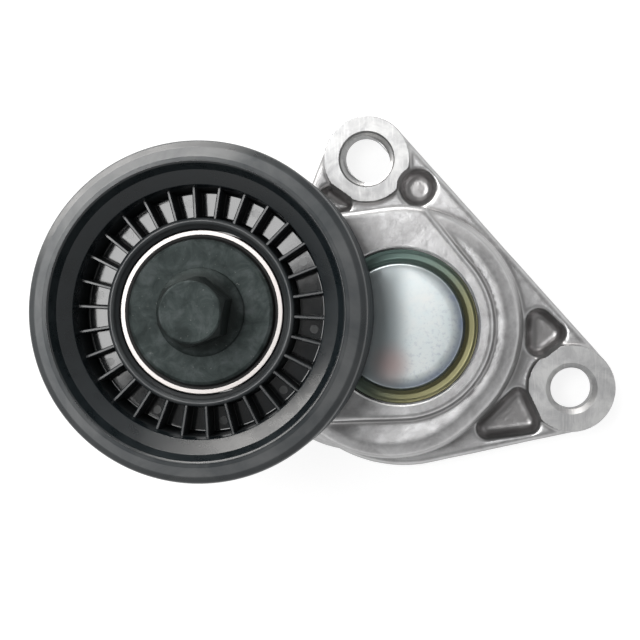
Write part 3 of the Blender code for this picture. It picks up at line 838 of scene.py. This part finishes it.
def read_skin(obj, pockets=()):
    """Remembers where a casting's skin is hollow and where it is proud, before it is machined, as masks for its
    painted shade and painted highlight.
    """
    points = rows_of(obj.data.vertices, "co") / MM
    bend = skin_bend(obj.data)
    hollow = 0.55 * ease(bend, 0.008, 0.058)
    crest = ease(bend, -0.012, -0.072)
    sunk = ease(points[:, 2], PLATE_TOP - 0.9, PLATE_TOP - 2.1)
    for circles in pockets:
        inside = ease(pocket_reach(points[:, :2], circles), 0.4, -0.3)
        hollow = np.maximum(hollow, inside * sunk)
    tree = KDTree(len(points))
    for index, point in enumerate(points):
        tree.insert(point, index)
    tree.balance()
    return tree, hollow, crest


def write_skin(obj, skin):
    """Stores the remembered skin on the machined casting, for its finish to read as painted shade and painted
    highlight.
    """
    tree, hollow, crest = skin
    nearest = [tree.find(point)[1] for point in rows_of(obj.data.vertices, "co") / MM]
    for name, values in (("hollow", hollow), ("crest", crest)):
        attribute = obj.data.attributes.new(name, "FLOAT", "POINT")
        attribute.data.foreach_set("value", values[nearest].astype(np.float32))


def pocket_reach(plan, circles):
    """How far plan points lie outside the outline that wraps round circles."""
    reach = np.full(len(plan), -np.inf)
    for angle in np.linspace(0, math.tau, 48, endpoint=False):
        facing = np.array((math.cos(angle), math.sin(angle)))
        edge = max(facing @ np.array(centre) + radius for centre, radius in circles)
        reach = np.maximum(reach, plan @ facing - edge)
    return reach


def make_base(cast, machined):
    """The cast bracket: plate with an eased edge, ear bosses, spring wall and pockets."""
    ears = [(RIGHT_EAR, EAR_R), (TOP_EAR, EAR_R)]
    plan = [*PLATE_CIRCLES, *ears]
    levels = [(0.4, -1.0), (0.1, 1.2), (0.0, 4.4), (0.05, 7.2), (0.4, 8.2), (1.2, PLATE_TOP)]
    base = loft("cast_bracket", plan, levels)
    for centre, radius in ears:
        boss = column("ear_boss", centre, radius, 5.0, EAR_TOP + 0.2, radius - 0.1)
        combine(base, boss, "UNION")
    wall = turned("spring_wall", [(26, 6), (31.0, 6), (31.0, 11.4), (26, 11.4)])
    combine(base, wall, "UNION")
    combine(base, turned("spring_cavity", [
        (13.0, 3.5), (28.2, 3.5), (28.2, 12.5), (0, 12.5), (0, 5.0), (13.0, 5.0),
    ]))
    bowl = [(2.3, 4.1), (1.7, 4.3), (1.0, 5.0), (0.5, 6.3), (0.1, 7.9), (-0.5, 9.0), (-0.9, 12.0)]
    for circles in POCKETS:
        grown = [(centre, radius + 0.15) for centre, radius in circles]
        combine(base, loft("pocket", grown, bowl, 64))
    as_cast(base, cast)
    skin = read_skin(base, POCKETS)
    combine(base, column("mounting_face", PIVOT, 90, -5, 0), material=machined)
    combine(base, column("pin_socket", PIVOT, 8.3, 2.7, 6.0), material=machined)
    for centre, radius in ears:
        facing = column("ear_facing", centre, radius + 1.5, EAR_TOP, EAR_TOP + 5)
        combine(base, facing, material=machined)
    combine(base, column("right_hole", RIGHT_EAR, EAR_HOLE_R, -1, 12), material=machined)
    chamfer = column("right_chamfer", RIGHT_EAR, EAR_HOLE_R, EAR_TOP - 1.3, 12, 8.7)
    combine(base, chamfer, material=machined)
    top_ear = Vector(TOP_EAR)
    along = (Vector(RIGHT_EAR) - top_ear).normalized() * EAR_SLOT_REACH
    slot = [(tuple(top_ear + along), EAR_HOLE_R), (tuple(top_ear - along), EAR_HOLE_R)]
    combine(base, loft("top_slot", slot, [(0, -1), (0, 12)]), material=machined)
    sink = [(0, 7.6), (5.7, 7.6), (6.1, 8.5), (7.0, 9.0), (7.4, EAR_TOP), (7.8, 12), (0, 12)]
    combine(base, turned("top_sink", sink, TOP_EAR), material=machined)
    write_skin(base, skin)
    return shade(base, CAST_SHARP_DEG)


def make_arm(cast, machined):
    """The cast arm: ring-shaped shoulder over the spring, beam and raised plateau."""
    cup = [(PIVOT, 31.2), ((-3.2, -3.6), 31.0)]
    shoulder = rounded([
        (0.0, ARM_LOW),
        (0.0, 13.1, 0.4),
        (0.4, 13.8, 0.4),
        (0.6, 18.0, 2.0),
        (1.3, 22.3, 1.8),
        (4.4, 24.0, 3.5),
        (9.0, 23.7),
    ], closed=False)
    arm = loft("cast_arm", cup, shoulder)
    beam_plan = [((-3.2, -3.6), 30.8), ((-12.0, -6.0), 26.5), (WHEEL, 21.5)]
    beam_side = [(0.0, ARM_LOW), (0.4, 16.5), (1.5, 19.5), (3.2, 21.6), (6.6, 23.0)]
    combine(arm, loft("beam", beam_plan, beam_side), "UNION")
    plateau_plan = [
        (PIVOT, 23.7),
        ((1.9, 33.0), 1.5),
        ((-9.0, 12.0), 18.0),
        ((-20.0, -4.0), 20.5),
        (WHEEL, 17.0),
    ]
    plateau_side = [(-0.6, 20.0), (0.0, 25.0), (0.4, 26.6), (1.1, PLATEAU_TOP)]
    plateau = loft("plateau", plateau_plan, plateau_side)
    bound_plan = [(PIVOT, 30.8), (WHEEL, 21.0)]
    bound_side = [(0.0, ARM_LOW), (0.2, 25.2), (0.5, 26.1), (1.1, 26.8), (2.0, PLATEAU_TOP), (2.1, 28.0)]
    combine(plateau, loft("plateau_bound", bound_plan, bound_side), "INTERSECT")
    combine(arm, plateau, "UNION")
    combine(arm, turned("spring_room", [
        (14.0, 4), (27.6, 4), (27.6, 18.0), (24.5, 21.3), (17.6, 21.3), (17.6, 17.0), (14.0, 17.0),
    ]))
    combine(arm, column("hub", PIVOT, 13.8, 6.6, 18), "UNION")
    combine(arm, turned("beam_room", [(12.5, 11), (15.8, 11), (15.8, 20.5), (12.5, 20.5)], WHEEL))
    combine(arm, column("bearing_post", WHEEL, 10.5, 20, 31.4, 9.5), "UNION")
    as_cast(arm, cast)
    skin = read_skin(arm)
    combine(arm, turned("cap_recess", [
        (0, 20),
        (15.9, 20),
        (15.9, RECESS_FLOOR),
        (RECESS_R, RECESS_FLOOR),
        (RECESS_R, PLATEAU_TOP - 0.35),
        (RECESS_R + 0.5, PLATEAU_TOP + 0.1),
        (RECESS_R + 0.5, 30),
        (0, 30),
    ]), material=machined)
    combine(arm, column("hub_bore", PIVOT, 10.5, 6, 21), material=machined)
    combine(arm, column("bolt_hole", WHEEL, 5.3, 11, 35), material=machined)
    write_skin(arm, skin)
    return shade(arm, CAST_SHARP_DEG)


# ---------------------------------------------------------------- studio


def make_floor():
    """A wide, pale, evenly lit floor."""
    bm = bmesh.new()
    bmesh.ops.create_grid(bm, x_segments=1, y_segments=1, size=4.0)
    floor = solid("studio_floor", bm)
    floor.location.z = -FLOOR_GAP * MM
    paper = Finish("pale_paper", Roughness=0.9, Emission_Strength=0.85)
    white, grey = (1.0, 1.0, 1.0, 1.0), (0.35, 0.35, 0.35, 1.0)
    floor.data.materials.append(paper.done(Base_Color=grey, Emission_Color=white))


def make_softbox(name, centre, target, width, height, radiance, colour):
    """A rectangular soft light that faces a point and isn't seen itself."""
    light = bpy.data.lights.new(name, "AREA")
    light.shape = "RECTANGLE"
    light.size = width
    light.size_y = height
    light.energy = 4 * radiance * width * height  # Blender spreads a light's watts this way
    light.color = colour
    softbox = bpy.data.objects.new(name, light)
    softbox.location = centre
    softbox.rotation_euler = (target - centre).to_track_quat("-Z", "Y").to_euler()
    softbox.visible_camera = False
    bpy.context.scene.collection.objects.link(softbox)
    return softbox


def make_lights():
    """A square softbox overhead, and a long warm one low at the side."""
    hub = Vector((*WHEEL, WEB_TOP)) * MM
    above = hub + Vector((-0.325, 0.153, 0.9))
    below = above - Vector((0, 0, 1))
    overhead = make_softbox("overhead_softbox", above, below, 0.45, 0.45, 4.2, (1, 1, 1))
    overhead.rotation_euler = (0, 0, math.radians(30.8))  # its edge falls across the pockets
    beside = hub + Vector((-0.40, 0.64, 0.27))
    make_softbox("side_softbox", beside, hub, 1.1, 0.34, 4.6, (1.0, 0.975, 0.95))


def make_room():
    """A room that is bright at eye level and grey overhead."""
    world = bpy.data.worlds.new("white_room")
    world.use_nodes = True
    tree = world.node_tree
    place = tree.nodes.new("ShaderNodeTexCoord")
    parts = tree.nodes.new("ShaderNodeSeparateXYZ")
    ramp = tree.nodes.new("ShaderNodeValToRGB")
    elements = ramp.color_ramp.elements
    shades = ((0.0, 0.85), (0.2, 0.66), (0.5, 0.40), (0.75, 0.22), (1.0, 0.20))
    while len(elements) < len(shades):
        elements.new(1.0)
    for element, (position, value) in zip(elements, shades):
        element.position = position
        element.color = (value, value, value, 1.0)
    tree.links.new(place.outputs["Generated"], parts.inputs[0])
    tree.links.new(parts.outputs["Z"], ramp.inputs[0])
    tree.links.new(ramp.outputs[0], tree.nodes["Background"].inputs["Color"])
    bpy.context.scene.world = world
    bpy.context.scene.view_settings.view_transform = "Standard"


def make_camera():
    """The photo's view: from in front of the pulley, a little to the right of the pivot."""
    data = bpy.data.cameras.new("camera")
    data.lens = 89.94
    data.clip_start = 0.01
    camera = bpy.data.objects.new("camera", data)
    camera.location = (0.0192, 0.0044, 0.4294)
    camera.rotation_euler = (math.radians(-0.4), math.radians(5.6), 0)
    bpy.context.scene.collection.objects.link(camera)
    bpy.context.scene.camera = camera


# ---------------------------------------------------------------- assembly


def finish_nodes(finishes):
    """Gives every CAD node the finish of its material slot."""
    for subpart in frame["record"]["subparts"]:
        mesh = frame["nodes"][subpart["node"]].data
        mesh.materials.clear()
        mesh.materials.append(finishes[subpart["material_slot"]])


def stand_for(piece, body, slot, *nodes):
    """Lets a finished piece stand for CAD nodes on their body."""
    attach(piece, body)
    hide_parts(*nodes)


def main():
    """Builds the studio, the finishes and every piece that stands for a CAD node."""
    make_lights()
    make_room()
    make_camera()
    make_floor()
    finishes = {
        "cast_aluminium": cast_aluminium(),
        "black_plastic": black_plastic(),
        "bearing_steel": bearing_steel(),
        "machined_steel": machined_steel(),
        "black_phosphate": black_phosphate(),
        "zinc_plate": zinc_plate(),
        "spring_steel": spring_steel(),
        "seal_rubber": seal_rubber(),
        "nylon": nylon(),
    }
    finish_nodes(finishes)
    machined = machined_aluminium()
    stand_for(make_base(finishes["cast_aluminium"], machined), "base", "cast_aluminium", "base_bracket")
    stand_for(make_arm(finishes["cast_aluminium"], machined), "arm", "cast_aluminium", "tensioner_arm")
    stand_for(make_cap(finishes["zinc_plate"]), "arm", "zinc_plate", "pivot_cap")
    stand_for(make_wheel(finishes["black_plastic"]), "pulley", "black_plastic", "pulley")
    race = make_outer_race(finishes["bearing_steel"])
    stand_for(race, "pulley", "bearing_steel", "bearing_outer_ring")
    seal = make_seal("moulded_front_seal", node_top("front_bearing_seal"), finishes["seal_rubber"])
    stand_for(seal, "pulley", "seal_rubber", "front_bearing_seal")
    stand_for(make_shield(finishes["black_phosphate"]), "arm", "black_phosphate", "front_dust_shield")
    stand_for(make_bolt(finishes["black_phosphate"]), "arm", "black_phosphate", "pulley_bolt")


main()
